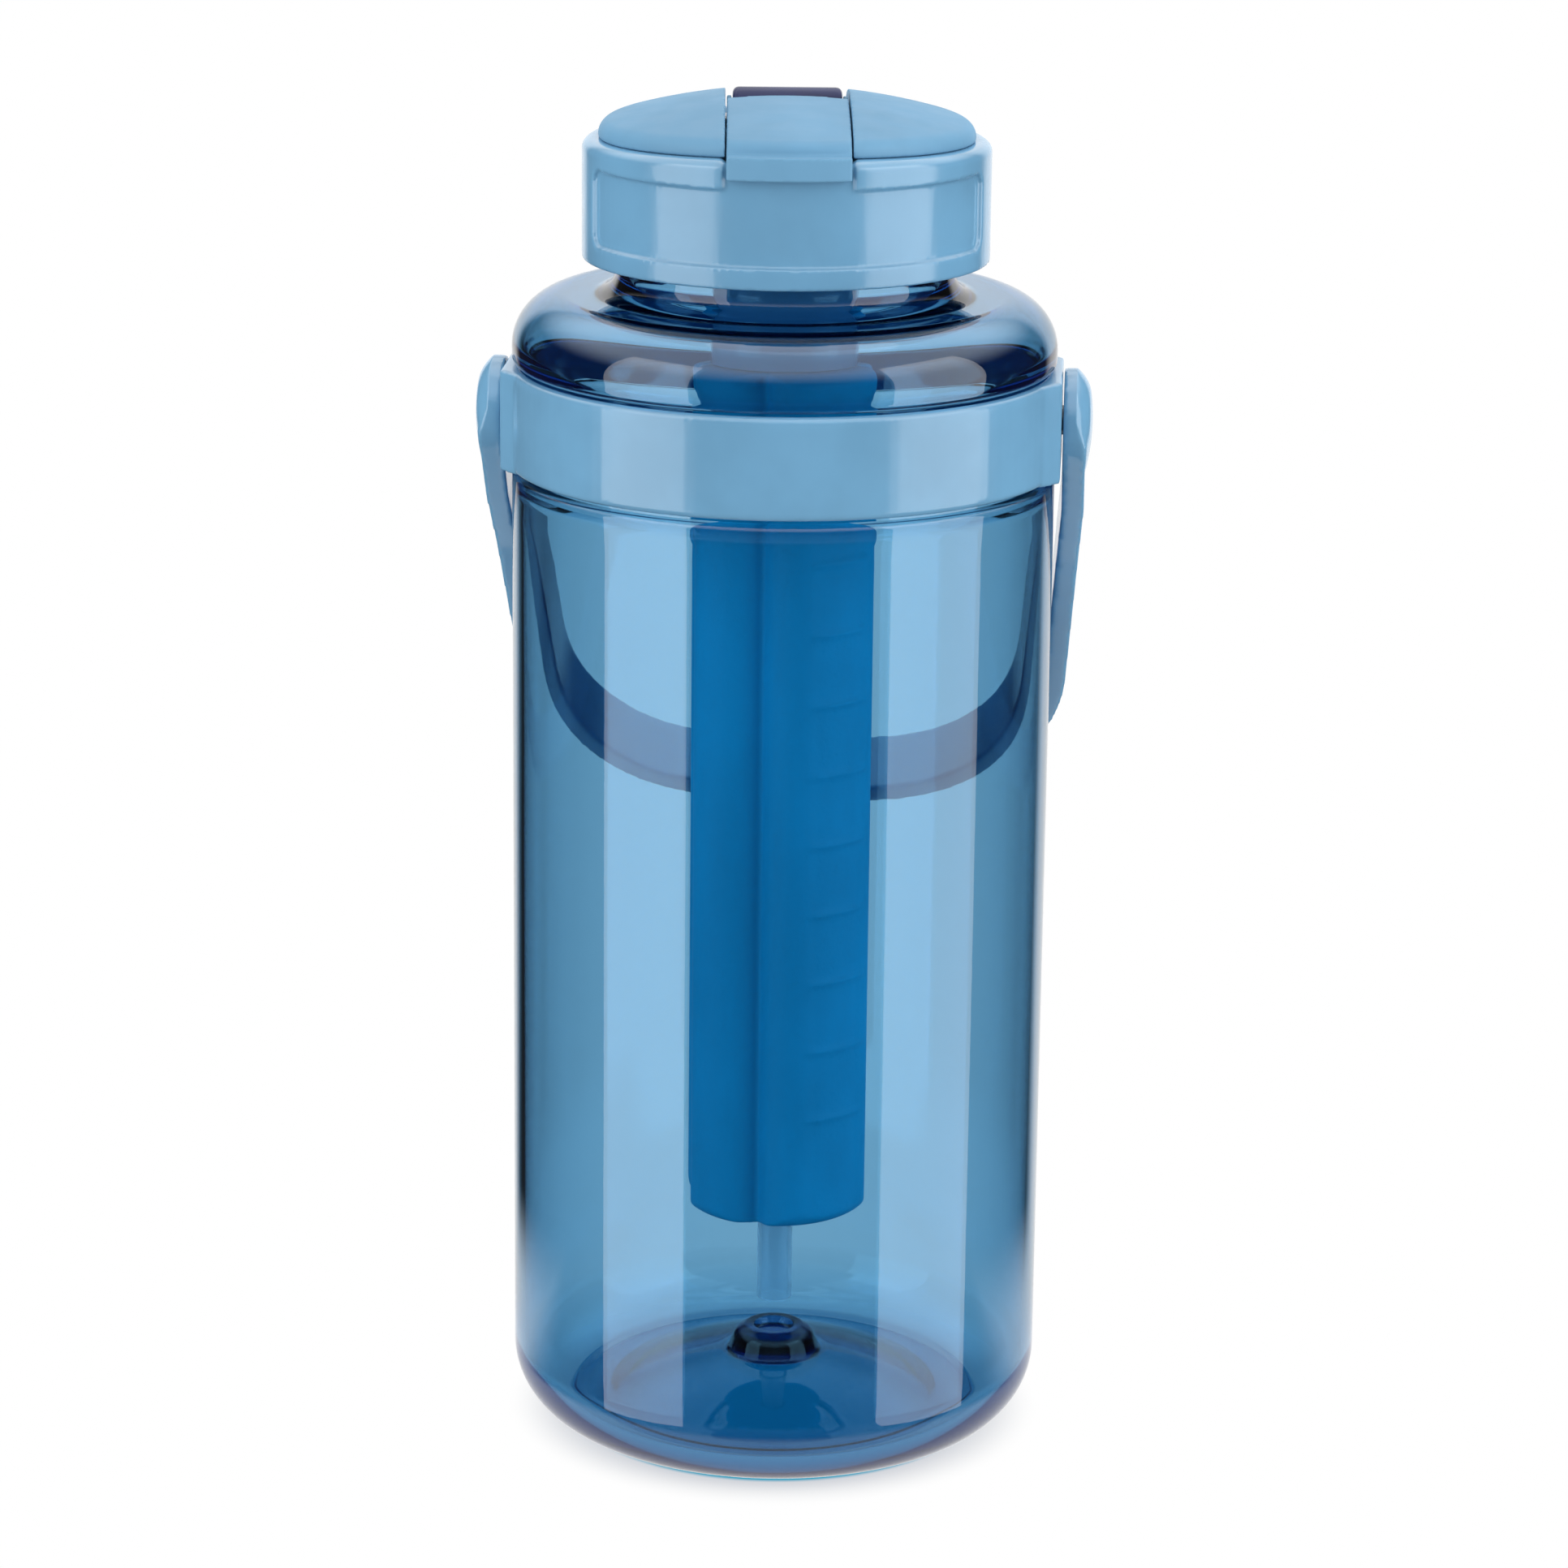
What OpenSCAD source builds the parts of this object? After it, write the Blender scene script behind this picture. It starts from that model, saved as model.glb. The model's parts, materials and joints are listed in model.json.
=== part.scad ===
// Two litre pitcher: clear bottle with a swing handle, a screw lid with a flip
// cover and folding drinking spout, and a freezable core that hangs on the lid.

/* [Bottle] */
// Outer radius of the bottle wall
body_r = 55; // [50:0.5:60]
// Wall of the bottle
body_wall = 2.2; // [1.8:0.1:3]
// Radius of the rounded edge at the foot
base_round = 15; // [12:0.5:18]
// Width of the flat ring that the bottle stands on
foot_ring_w = 6; // [4:0.5:9]
// Thickness of the floor at its edge
floor_t = 3.6; // [3:0.1:5]
// Height of the pushed-up dome inside the floor
floor_dome_h = 9.2; // [6:0.2:12]
// Thickness of the floor at the middle
floor_mid_t = 3.5; // [2.5:0.1:5]
// Height of the nub on the middle of the floor
nub_h = 4.6; // [3:0.2:6]
// Radius of the nub at its top
nub_r = 7; // [5:0.2:9]
// Outer radius of the neck
neck_r = 34; // [31:0.5:38]
// Wall of the neck
neck_wall = 2.4; // [2:0.1:3]
// Radius of the rounded shoulder
shoulder_round = 10.8; // [9:0.1:13]
// Radius of the hollow fillet at the root of the neck
neck_root_r = 5; // [3:0.5:6]

/* [Carry band and handle] */
// Height of the band's lower edge above the floor
band_z = 204; // [150:1:240]
// Height of the band
band_h = 20.4; // [16:0.2:26]
// Wall of the band
band_wall = 2.54; // [2:0.1:4]
// Depth of the waist that the band sits in
waist_depth = 1.8; // [1:0.1:2.5]
// Width of the flat face of a side pad
pad_face_w = 28; // [24:1:34]
// Length of each sloping end of a side pad
pad_slope_w = 4; // [2:0.5:6]
// How far the pad's face stands out from the band
pad_stand = 0.26; // [0.1:0.05:1]
// Radius of the pivot pins
pivot_r = 3; // [2.5:0.1:4]
// Radius of a pivot pin's head
pivot_head_r = 5.3; // [4.5:0.1:7]
// Thickness of the handle strap
strap_t = 4.6; // [4:0.1:7]
// Width of the handle strap
strap_w = 15; // [11:0.5:18]
// Radius of the handle's eyes
eye_r = 10.5; // [9:0.5:13]
// Free height between the lid and the raised grip
head_room = 44; // [38:0.5:60]
// Lean of the handle's arms towards each other
arm_lean = 3.2; // [1:0.1:6]
// Radius of the handle's corners
corner_r = 43; // [30:1:46]
// Radius of the grip's bow
bow_r = 174; // [140:1:240]

/* [Lid] */
// Height of the lid's collar
collar_h = 24.8; // [24:0.1:32]
// Wall of the collar
collar_wall = 2.49; // [2.2:0.1:3]
// Gap between the shoulder of the bottle and the collar
collar_gap = 7.2; // [5:0.1:9]
// Radius of the collar's upper edge
collar_round = 2.2; // [1.5:0.1:3]
// Depth of the grip panels in the collar
panel_depth = 1; // [0.6:0.1:1.2]
// Half angle that a grip panel spans
panel_half_angle = 70; // [50:1:80]
// Angle at which the closed lid comes to its stop
lid_stop_angle = 4.3; // [0:0.1:10]
// Height of the domed top above the collar
dome_h = 7.9; // [7:0.1:9]
// Radius of curvature of the domed top
dome_r = 150; // [110:1:200]
// Radius of the domed top's edge
dome_round = 3; // [2.6:0.1:4]
// Width of the ledge between the collar's wall and the dome
ledge_w = 3.24; // [2.8:0.1:4]
// Width of the channel across the top
channel_w = 24.8; // [22:0.1:28]

/* [Flip cover and spout] */
// Thickness of the flip cover
flap_t = 1.6; // [1.2:0.1:2]
// Distance of the hinge axis behind the lid's axis
hinge_y = 4.5; // [3:0.1:6]
// How much flatter the cover is than the domed top
flap_flat_share = 1.1; // [1:0.02:2]
// Thickness of the cover's thumb lip
lip_t = 1.5; // [1.2:0.1:1.8]
// Height of the thumb lip
lip_h = 4.4; // [4:0.1:5.6]
// Radius of the spout's barrel
drum_r = 6.7; // [6.2:0.1:6.9]
// Length of the spout's nozzle from the barrel's axis
nozzle_len = 23; // [18:0.5:23.5]
// Width of the nozzle
nozzle_w = 15; // [12:0.5:15.5]
// Thickness of the nozzle
nozzle_h = 5.8; // [5:0.1:6]
// Radius of the drinking bore in the nozzle
nozzle_bore_r = 1.9; // [1.5:0.1:2.2]
// Angle that the folded nozzle dips
nozzle_dip = 6; // [4:0.5:7]
// Radius of the spout's hinge pins
hinge_r = 1.5; // [1.2:0.1:1.8]

/* [Ice core and straw] */
// Outer radius of the ice core
core_r = 20.1; // [18:0.1:24]
// Height of the core's underside above the floor's nub
core_stand = 28.1; // [10:0.5:60]
// Wall of the core
core_wall = 1.6; // [1.2:0.1:2.2]
// Radius of the core's rounded ends
core_edge = 5; // [3:0.1:8]
// Direction that the core's wide lobe faces
core_angle = 37; // [0:1:90]
// Radius of the wide lobe's flanks
flank_r = 7; // [6.8:0.1:7.6]
// Radius of the narrow lobe
narrow_r = 9; // [8:0.1:9.6]
// Number of raised marks on the core
mark_count = 9; // [1:1:11]
// Distance from one mark to the next
mark_pitch = 14.7; // [12:0.1:16]
// Half width of a mark's bead
mark_r = 0.6; // [0.3:0.1:0.8]
// Outer radius of the tube that carries the core
coupler_r = 14.7; // [14:0.1:16]
// Wall of the tube that carries the core
coupler_wall = 2; // [1.6:0.1:2.4]
// Length of the tube that carries the core
coupler_len = 34.7; // [28:0.1:40]
// Outer radius of the straw
straw_r = 3.7; // [3:0.1:4]
// Wall of the straw
straw_wall = 0.8; // [0.5:0.1:1]
// Free height between the straw and the floor's nub
straw_gap = 6.4; // [3:0.1:12]

/* [Hidden] */
$fn = 128;

// Clearances
cut = 1;              // overrun of every cut
seat_gap = 0.05;      // between faces that bear on each other and turn
running_gap = 0.06;   // round a pin, on the radius
side_gap = 0.3;       // between moving faces that only pass each other
press_gap = 0.05;     // round a piece that is pushed home and stays
band_gap = 0.2;       // round the bottle's waist, under the band

// Bottle, from the foot upwards
foot_r = body_r - base_round;
foot_inner_r = foot_r - foot_ring_w;
inner_r = body_r - body_wall;
inner_round = base_round - body_wall;
floor_edge_r = inner_r - inner_round;
floor_dome_foot_share = 0.92;
floor_dome_foot = floor_edge_r * floor_dome_foot_share;
under_dome_h = floor_t + floor_dome_h - floor_mid_t;
nub_base_share = 1.36;
nub_dimple_share = 0.54;
nub_dimple_depth_share = 0.3;
nub_top_z = floor_t + floor_dome_h + nub_h;
waist_r = body_r - waist_depth;
waist_inner_r = waist_r - body_wall;
lip_round = 1.8;
wall_gap = 0.8;
wall_top_z = band_z - wall_gap;
band_top_z = band_z + band_h;
shoulder_foot_round = 1.7;
shoulder_foot_z = band_top_z + side_gap;
shoulder_straight = 0.1;
shoulder_z = shoulder_foot_z + 2 * shoulder_foot_round + shoulder_straight;
shoulder_top_z = shoulder_z + shoulder_round;
shoulder_c = body_r - shoulder_round;
neck_inner_r = neck_r - neck_wall;
neck_corner_r = 3;

// Band, pins and handle
band_inner_r = waist_r + band_gap;
band_r = band_inner_r + band_wall;
band_edge = 1.2;
pad_x = band_r + pad_stand;
pivot_z = band_z + band_h / 2;
arm_x = pad_x + side_gap;
arm_outer_x = arm_x + strap_t;
head_sink = 0.5;
head_stand = 0.5;
crest_z = shoulder_top_z + collar_gap + collar_h + dome_h;
handle_drop = crest_z - pivot_z + head_room + strap_t;
arm_straight = pad_face_w / 2 + pad_slope_w;
taper_end_share = 0.3;
taper_end = handle_drop * taper_end_share;
hang_reach = handle_drop - strap_t;
hang_angle = asin((body_r + side_gap) / norm([hang_reach, strap_w / 2])) + atan(strap_w / 2 / hang_reach);

// Lid, from the collar's lower edge upwards
collar_z = shoulder_top_z + collar_gap;
thread_room = 2.6;
liner_wall = 1.8;
liner_inner_r = neck_r + thread_room;
liner_r = liner_inner_r + liner_wall;
collar_inner_r = liner_r + press_gap;
collar_r = collar_inner_r + collar_wall;
deck_t = 2.4;
deck_z = collar_z + collar_h;
liner_t = 1.8;
liner_top_z = deck_z - deck_t;
liner_skirt_gap = 2;
gasket_t = 1.5;
gasket_lap = 1.4;
neck_top_z = liner_top_z - liner_t - gasket_t - 2 * seat_gap;
panel_low_share = 0.17;
panel_high_share = 0.782;
panel_z = collar_z + collar_h * panel_low_share;
panel_h = collar_h * (panel_high_share - panel_low_share);
panel_corner_r = 3.6;
panel_corner_share = 1.06;
dome_wall_r = collar_r - ledge_w;
shell_t = 2;
plug_step = 2.7;
edge_proud = 0.01;
plug_r = dome_wall_r - plug_step;

// Spout and flip cover
drum_stand = 0.65;
hinge_z = crest_z + drum_stand - drum_r;
lug_t = 0.95;
flap_w = channel_w - 2 * side_gap;
lug_x = flap_w / 2 - lug_t;
drum_gap = 0.2;
drum_half = lug_x - drum_gap;
drum_edge = 1.2;
drum_bore_r = 2.4;
lug_r = 4.8;
lug_arm_share = 0.75;
cheek_step_share = 0.3;
flap_sink = 0.6;
flap_dome_r = dome_r * flap_flat_share;
flap_cut_r = drum_r + side_gap;
flap_cut_angle = 45;
pin_grip = 3;
pocket_gap = 0.5;
pocket_z = hinge_z - nozzle_len * sin(nozzle_dip) - nozzle_h / 2 - pocket_gap;
pocket_side_gap = 0.8;
pocket_room = 1.3;
pocket_back = drum_r + pocket_room;
pan_t = 2.2;
pan_z = pocket_z - pan_t;
pan_room = 1.5;
pan_front = nozzle_len + pocket_side_gap - hinge_y;
pan_r = norm([nozzle_w / 2 + pocket_side_gap, pan_front]) + pan_room;
seal_h = 2.3;
seal_r = 5.5;
port_r = 2.6;
seal_z = hinge_z - drum_r - seal_h;
transfer_h = 1.2;
transfer_room = 0.4;
boss_r = 19;
boss_t = 2.95;
boss_z = seal_z - boss_t;
lip_r = collar_r - panel_depth + side_gap + lip_t;
ledge_rise = 0.8;
ledge_t = 1.2;
ledge_z = deck_z + ledge_rise - ledge_t;
notch_gap = 0.65;
notch_half = flap_w / 2 + notch_gap;
vent_room = neck_inner_r - pan_r;
vent_flange_share = 0.35;
vent_stem_share = 0.56;
vent_flange_r = vent_room * vent_flange_share;
vent_r = vent_flange_r * vent_stem_share;
vent_flange_t = 1.2;
vent_y = pan_r + vent_room / 2;

// Core and straw
coupler_z = boss_z - coupler_len;
coupler_flange_t = 2.5;
coupler_flange_step = 0.4;
coupler_flange_r = boss_r - coupler_flange_step;
coupler_inner_r = coupler_r - coupler_wall;
core_neck_gap = 0.25;
tunnel_room = 1.2;
oring_r = 0.8;
oring_mid_r = 9.5;
adapter_r = 6;
adapter_len = 12;
adapter_flange_r = 8;
adapter_flange_t = 1.7;
straw_seat = 1.5;
straw_top_z = boss_z - straw_seat;
straw_low_z = nub_top_z + straw_gap;
core_top_z = coupler_z - side_gap;
core_low_z = nub_top_z + core_stand;
core_neck_r = coupler_inner_r - core_neck_gap;
core_neck_wall = 1.45;
core_neck_h = 13;
tunnel_r = straw_r + tunnel_room;
tunnel_wall = 1.2;
flank_swell = 0.25;
flank_d = core_r - flank_r + flank_swell;
narrow_d = core_r - narrow_r;
flank_angle = 22.7;
core_heart_r = core_r - flank_r;
core_edge_gap = 0.5;
gel_gap = 0.1;
gel_head_room = 6;
cap_t = 5;
cap_flange_t = 1.5;
mark_low = 24.2;
mark_half_angle = 21;

// Radius of the arc that rises h over a half chord
function arc_radius(half, h) = (half * half + h * h) / (2 * h);

// Centre of the arc that rounds a handle corner, touching the arm and the bow
function corner_centre() =
    let (dir = [-sin(arm_lean), cos(arm_lean)])
    let (inward = [-cos(arm_lean), -sin(arm_lean)])
    let (bow_c = [0, handle_drop - bow_r])
    let (start = [arm_outer_x, arm_straight] + corner_r * inward)
    let (q = start - bow_c)
    let (b = q * dir)
    let (reach = bow_r - corner_r)
    start + (sqrt(b * b - q * q + reach * reach) - b) * dir;

// A bar of revolution with rounded edges at both ends
module bullet(r, h, edge) {
    rotate_extrude() {
        square([r - edge, h]);
        translate([0, edge]) square([r, h - 2 * edge]);
        translate([r - edge, edge]) circle(edge);
        translate([r - edge, h - edge]) circle(edge);
    }
}

// A plain ring standing on the plane
module ring(r, hole_r, h) {
    difference() {
        cylinder(r = r, h = h);
        translate([0, 0, -cut]) cylinder(r = hole_r, h = h + 2 * cut);
    }
}

// The lid and all it carries, turned to where the thread stops
module on_lid() {
    rotate([0, 0, lid_stop_angle]) children();
}

// Places its child along X through the spout's axis
module at_hinge() {
    translate([0, hinge_y, hinge_z]) rotate([0, 90, 0]) children();
}

// Upper half of a disc with its centre at a radius and a height
module upper_half_2d(centre_r, centre_z, r) {
    intersection() {
        translate([centre_r, centre_z]) circle(r);
        translate([0, centre_z]) square([centre_r + r + cut, r + cut]);
    }
}

// Outer half section of the bottle
module bottle_outer_2d() {
    square([foot_r, base_round]);
    translate([foot_r, base_round]) circle(base_round);
    translate([0, base_round]) square([body_r, wall_top_z - lip_round - base_round]);
    square([body_r - lip_round, wall_top_z]);
    translate([body_r - lip_round, wall_top_z - lip_round]) circle(lip_round);
    square([waist_r, shoulder_z]);
    translate([body_r - shoulder_foot_round, shoulder_foot_z + shoulder_foot_round])
        circle(shoulder_foot_round);
    translate([0, shoulder_foot_z + shoulder_foot_round])
        square([body_r, shoulder_z - shoulder_foot_z - shoulder_foot_round]);
    upper_half_2d(shoulder_c, shoulder_z, shoulder_round);
    square([shoulder_c, shoulder_top_z]);
    square([neck_r, neck_top_z]);
    difference() {
        square([neck_r + neck_root_r, shoulder_top_z + neck_root_r]);
        translate([neck_r + neck_root_r, shoulder_top_z + neck_root_r]) circle(neck_root_r);
    }
}

// Half section of the space inside the bottle, above a flat floor
module bottle_inner_2d() {
    round_r = shoulder_round - body_wall;
    under_neck_z = shoulder_z + round_r;
    translate([0, floor_t]) square([floor_edge_r, inner_round]);
    translate([floor_edge_r, floor_t + inner_round]) circle(inner_round);
    translate([0, floor_t + inner_round])
        square([inner_r, wall_top_z - body_wall - lip_round - floor_t - inner_round]);
    polygon([[0, wall_top_z - body_wall - lip_round], [inner_r, wall_top_z - body_wall - lip_round],
             [waist_inner_r, wall_top_z], [waist_inner_r, shoulder_foot_z],
             [inner_r, shoulder_z], [0, shoulder_z]]);
    upper_half_2d(shoulder_c, shoulder_z, round_r);
    translate([0, shoulder_foot_z]) square([shoulder_c, under_neck_z - shoulder_foot_z]);
    square([neck_inner_r, neck_top_z + cut]);
    difference() {
        translate([0, shoulder_z]) square([neck_inner_r + neck_corner_r, round_r + neck_corner_r]);
        translate([neck_inner_r + neck_corner_r, under_neck_z + neck_corner_r]) circle(neck_corner_r);
    }
}

// Cap of a sphere on its chord, as a half section
module dome_2d(half, h) {
    r = arc_radius(half, h);
    intersection() {
        translate([0, h - r]) circle(r);
        square([half, h]);
    }
}

module bottle_body() {
    nub_base_r = nub_r * nub_base_share;
    color([0.37, 0.60, 0.76, 0.5]) rotate_extrude($fn = 180) {
        difference() {
            bottle_outer_2d();
            bottle_inner_2d();
            square([foot_r, floor_t]);
        }
        difference() {
            union() {
                square([foot_r, floor_t]);
                translate([0, floor_t]) dome_2d(floor_dome_foot, floor_dome_h);
                polygon([[0, floor_t], [nub_base_r, floor_t], [nub_base_r, nub_top_z - nub_h],
                         [nub_r, nub_top_z], [0, nub_top_z]]);
            }
            dome_2d(foot_inner_r, under_dome_h);
            translate([0, nub_top_z - nub_h * nub_dimple_depth_share])
                square([nub_r * nub_dimple_share, nub_h]);
        }
    }
}

module carry_band() {
    face_half = pad_face_w / 2;
    root_half = face_half + pad_slope_w;
    root_x = sqrt(band_r * band_r - root_half * root_half);
    color([0.45, 0.65, 0.80]) difference() {
        union() {
            translate([0, 0, band_z]) rotate_extrude($fn = 180) {
                square([band_r - band_edge, band_h]);
                translate([0, band_edge]) square([band_r, band_h - 2 * band_edge]);
                translate([band_r - band_edge, band_edge]) circle(band_edge);
                translate([band_r - band_edge, band_h - band_edge]) circle(band_edge);
            }
            for (side = [-1, 1])
                translate([0, 0, band_z]) linear_extrude(band_h)
                    polygon([[0, -root_half], [side * root_x, -root_half], [side * pad_x, -face_half],
                             [side * pad_x, face_half], [side * root_x, root_half], [0, root_half]]);
        }
        translate([0, 0, band_z - cut]) cylinder(r = band_inner_r, h = band_h + 2 * cut, $fn = 180);
        translate([-pad_x - cut, 0, pivot_z]) rotate([0, 90, 0])
            cylinder(r = pivot_r, h = 2 * (pad_x + cut));
    }
}

// A pivot pin on the +X side: shank through the pad and the eye, and its head
module pivot_pin() {
    color([0.45, 0.65, 0.80]) translate([0, 0, pivot_z]) rotate([0, 90, 0]) {
        translate([0, 0, band_inner_r]) cylinder(r = pivot_r, h = arm_outer_x - head_sink - band_inner_r);
        translate([0, 0, arm_outer_x - head_sink + seat_gap])
            cylinder(r = pivot_head_r, h = head_sink + head_stand);
        translate([0, 0, arm_outer_x - head_sink - cut]) cylinder(r = pivot_r, h = 2 * cut);
    }
}

module pivot_pin_left() {
    mirror([1, 0, 0]) pivot_pin();
}

module pivot_pin_right() {
    pivot_pin();
}

// Front view of the handle, filled, drawn in from its outer face by an inset
module handle_front_2d(inset) {
    c = corner_centre();
    bow_c = [0, handle_drop - bow_r];
    arm = [arm_outer_x - inset, arm_straight - inset * tan(arm_lean / 2)];
    arm_foot = c + (corner_r - inset) * [cos(arm_lean), sin(arm_lean)];
    out = (c - bow_c) / norm(c - bow_c);
    bow_end = bow_c + (bow_r - inset) * out;
    mirror([0, 1]) {
        polygon([[arm[0], -eye_r - cut], arm, arm_foot, c, bow_end, [-bow_end[0], bow_end[1]],
                 [-c[0], c[1]], [-arm_foot[0], arm_foot[1]], [-arm[0], arm[1]], [-arm[0], -eye_r - cut]]);
        for (side = [-1, 1])
            translate([side * c[0], c[1]]) circle(corner_r - inset);
        intersection() {
            translate(bow_c) circle(bow_r - inset, $fn = 360);
            translate([-bow_end[0], bow_end[1]]) square([2 * bow_end[0], handle_drop - bow_end[1]]);
        }
    }
}

// Side view of the handle: an eye that tapers into the strap
module handle_side_2d() {
    half = strap_w / 2;
    reach = norm([taper_end, half]);
    turn = atan(half / taper_end) + acos(eye_r / reach);
    touch = eye_r * [cos(turn), sin(turn)];
    circle(eye_r);
    mirror([1, 0]) {
        translate([taper_end - cut, -half]) square([handle_drop - taper_end + 2 * cut, strap_w]);
        polygon([[touch[0], -touch[1]], [taper_end, -half], [taper_end, half], touch]);
    }
}

module carry_handle() {
    color([0.45, 0.65, 0.80]) translate([0, 0, pivot_z]) rotate([90 + hang_angle, 0, 0]) difference() {
        intersection() {
            translate([0, 0, -eye_r]) linear_extrude(2 * eye_r) difference() {
                handle_front_2d(0);
                handle_front_2d(strap_t);
                translate([-arm_x, -arm_straight]) square([2 * arm_x, arm_straight + eye_r + 2 * cut]);
            }
            translate([-arm_outer_x - cut, 0, 0]) rotate([90, 0, 90])
                linear_extrude(2 * (arm_outer_x + cut)) handle_side_2d();
        }
        translate([-arm_outer_x - cut, 0, 0]) rotate([0, 90, 0])
            cylinder(r = pivot_r + running_gap, h = 2 * (arm_outer_x + cut));
        for (side = [0, 180])
            rotate([0, 0, side]) translate([arm_outer_x - head_sink, 0, 0]) rotate([0, 90, 0])
                cylinder(r = pivot_head_r + running_gap, h = head_sink + cut);
    }
}

module lid_gasket() {
    color([0.85, 0.88, 0.90]) translate([0, 0, neck_top_z + seat_gap])
        ring(neck_r + gasket_lap, neck_inner_r, gasket_t);
}

// One grip panel, cut along the front of the collar with round corners
module grip_panel() {
    floor_r = collar_r - panel_depth;
    full = panel_half_angle - asin(panel_corner_r / collar_r);
    reach = 2 * panel_corner_r;
    difference() {
        translate([0, 0, panel_z]) rotate([0, 0, -90 - panel_half_angle])
            rotate_extrude(angle = 2 * panel_half_angle)
                translate([floor_r, 0]) square([panel_depth + cut, panel_h]);
        for (side = [-1, 1], up = [-1, 1])
            rotate([0, 0, side * full])
                translate([0, -floor_r + cut, panel_z + panel_h / 2 + up * (panel_h / 2 - panel_corner_r)])
                    rotate([90, 0, 0]) linear_extrude(panel_depth + 3 * cut) difference() {
                        translate([side > 0 ? 0 : -reach, up > 0 ? 0 : -reach]) square(reach);
                        circle(panel_corner_r * panel_corner_share);
                    }
    }
}

module lid_collar() {
    deck_hole_r = plug_r + press_gap;
    color([0.45, 0.65, 0.80]) on_lid() difference() {
        translate([0, 0, collar_z]) rotate_extrude($fn = 180) difference() {
            union() {
                square([collar_r, collar_h - collar_round]);
                square([collar_r - collar_round, collar_h]);
                translate([collar_r - collar_round, collar_h - collar_round]) circle(collar_round);
            }
            translate([0, -cut]) square([collar_inner_r, collar_h - deck_t + cut]);
            square([deck_hole_r, collar_h + cut]);
        }
        for (turn = [0, 180])
            rotate([0, 0, turn]) grip_panel();
        lip_notch(collar_r - panel_depth - edge_proud, panel_z + panel_h - cut);
        translate([-notch_half, -collar_r - cut, ledge_z - side_gap])
            cube([2 * notch_half, collar_r - pan_r, collar_h]);
    }
}

// Room in the front of the collar for the cover's lip, outside a radius
module lip_notch(deep_r, low_z) {
    difference() {
        translate([-notch_half, -collar_r - cut, low_z])
            cube([2 * notch_half, collar_r + cut, collar_h]);
        translate([0, 0, low_z - cut]) cylinder(r = deep_r, h = collar_h + 2 * cut);
    }
}

// Half section of the domed top: a dome on a low wall, with a rounded edge
module dome_top_2d(wall_r, edge, top, curve_r, low_z) {
    edge_z = top - curve_r + sqrt(pow(curve_r - edge, 2) - pow(wall_r - edge, 2));
    touch_r = (wall_r - edge) * curve_r / (curve_r - edge);
    touch_z = top - curve_r + sqrt(curve_r * curve_r - touch_r * touch_r);
    intersection() {
        union() {
            translate([0, edge_z + edge_proud - edge]) square([wall_r, edge]);
            translate([wall_r - edge, edge_z + edge_proud]) circle(edge);
            polygon([[0, edge_z - edge], [wall_r - edge, edge_z - edge], [wall_r - edge, edge_z],
                     [touch_r, touch_z], [0, touch_z]]);
            intersection() {
                translate([0, top - curve_r]) circle(curve_r, $fn = 720);
                translate([0, edge_z]) square([touch_r, top - edge_z]);
            }
        }
        translate([0, low_z]) square([wall_r, top - low_z]);
    }
}

// The side spaces inside the domed top, on both sides of the channel
module dome_hollow() {
    wall_half = channel_w / 2 + shell_t;
    difference() {
        rotate_extrude($fn = 180) {
            dome_top_2d(dome_wall_r - shell_t, dome_round - shell_t, crest_z - shell_t,
                        dome_r - shell_t, deck_z);
            translate([0, pocket_z]) square([pan_r - shell_t, deck_z - pocket_z + cut]);
            translate([pan_r, liner_top_z - cut]) square([plug_r - shell_t - pan_r, deck_t + 2 * cut]);
        }
        translate([-wall_half, -collar_r, pan_z - cut]) cube([2 * wall_half, 2 * collar_r, crest_z]);
    }
}

// The channel with its pockets for the nozzle, the barrel and the cover's lugs
module channel_cut() {
    half = channel_w / 2;
    nozzle_half = nozzle_w / 2 + pocket_side_gap;
    reach = nozzle_len + pocket_side_gap;
    translate([-half, -collar_r, deck_z]) cube([channel_w, 2 * collar_r, crest_z]);
    translate([-half, hinge_y - pocket_back, pocket_z]) cube([channel_w, 2 * pocket_back, crest_z]);
    translate([-nozzle_half, hinge_y - reach, pocket_z]) cube([2 * nozzle_half, reach, crest_z]);
    translate([-half, 0, 0]) at_hinge() cylinder(r = drum_r + running_gap, h = channel_w);
}

module lid_top() {
    color([0.45, 0.65, 0.80]) on_lid() difference() {
        union() {
            rotate_extrude($fn = 180) {
                dome_top_2d(dome_wall_r, dome_round, crest_z, dome_r, deck_z);
                translate([0, liner_top_z]) square([plug_r, deck_t + cut]);
                translate([0, pan_z]) square([pan_r, deck_z - pan_z]);
                translate([0, boss_z]) square([boss_r, deck_z - boss_z]);
            }
        }
        dome_hollow();
        channel_cut();
        translate([0, hinge_y / 2, boss_z - cut])
            cylinder(r = port_r + hinge_y / 2 + transfer_room, h = transfer_h + cut);
        translate([0, hinge_y, boss_z + transfer_h / 2]) cylinder(r = port_r, h = pocket_z - boss_z);
        translate([0, hinge_y, seal_z]) cylinder(r = seal_r, h = pocket_z - seal_z + cut);
        translate([0, vent_y, liner_top_z - cut]) cylinder(r = vent_r, h = deck_t + 2 * cut);
        for (side = [-1, 1])
            translate([side * (channel_w + shell_t) / 2, 0, 0]) at_hinge()
                cylinder(r = hinge_r, h = shell_t + cut, center = true);
    }
}

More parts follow.
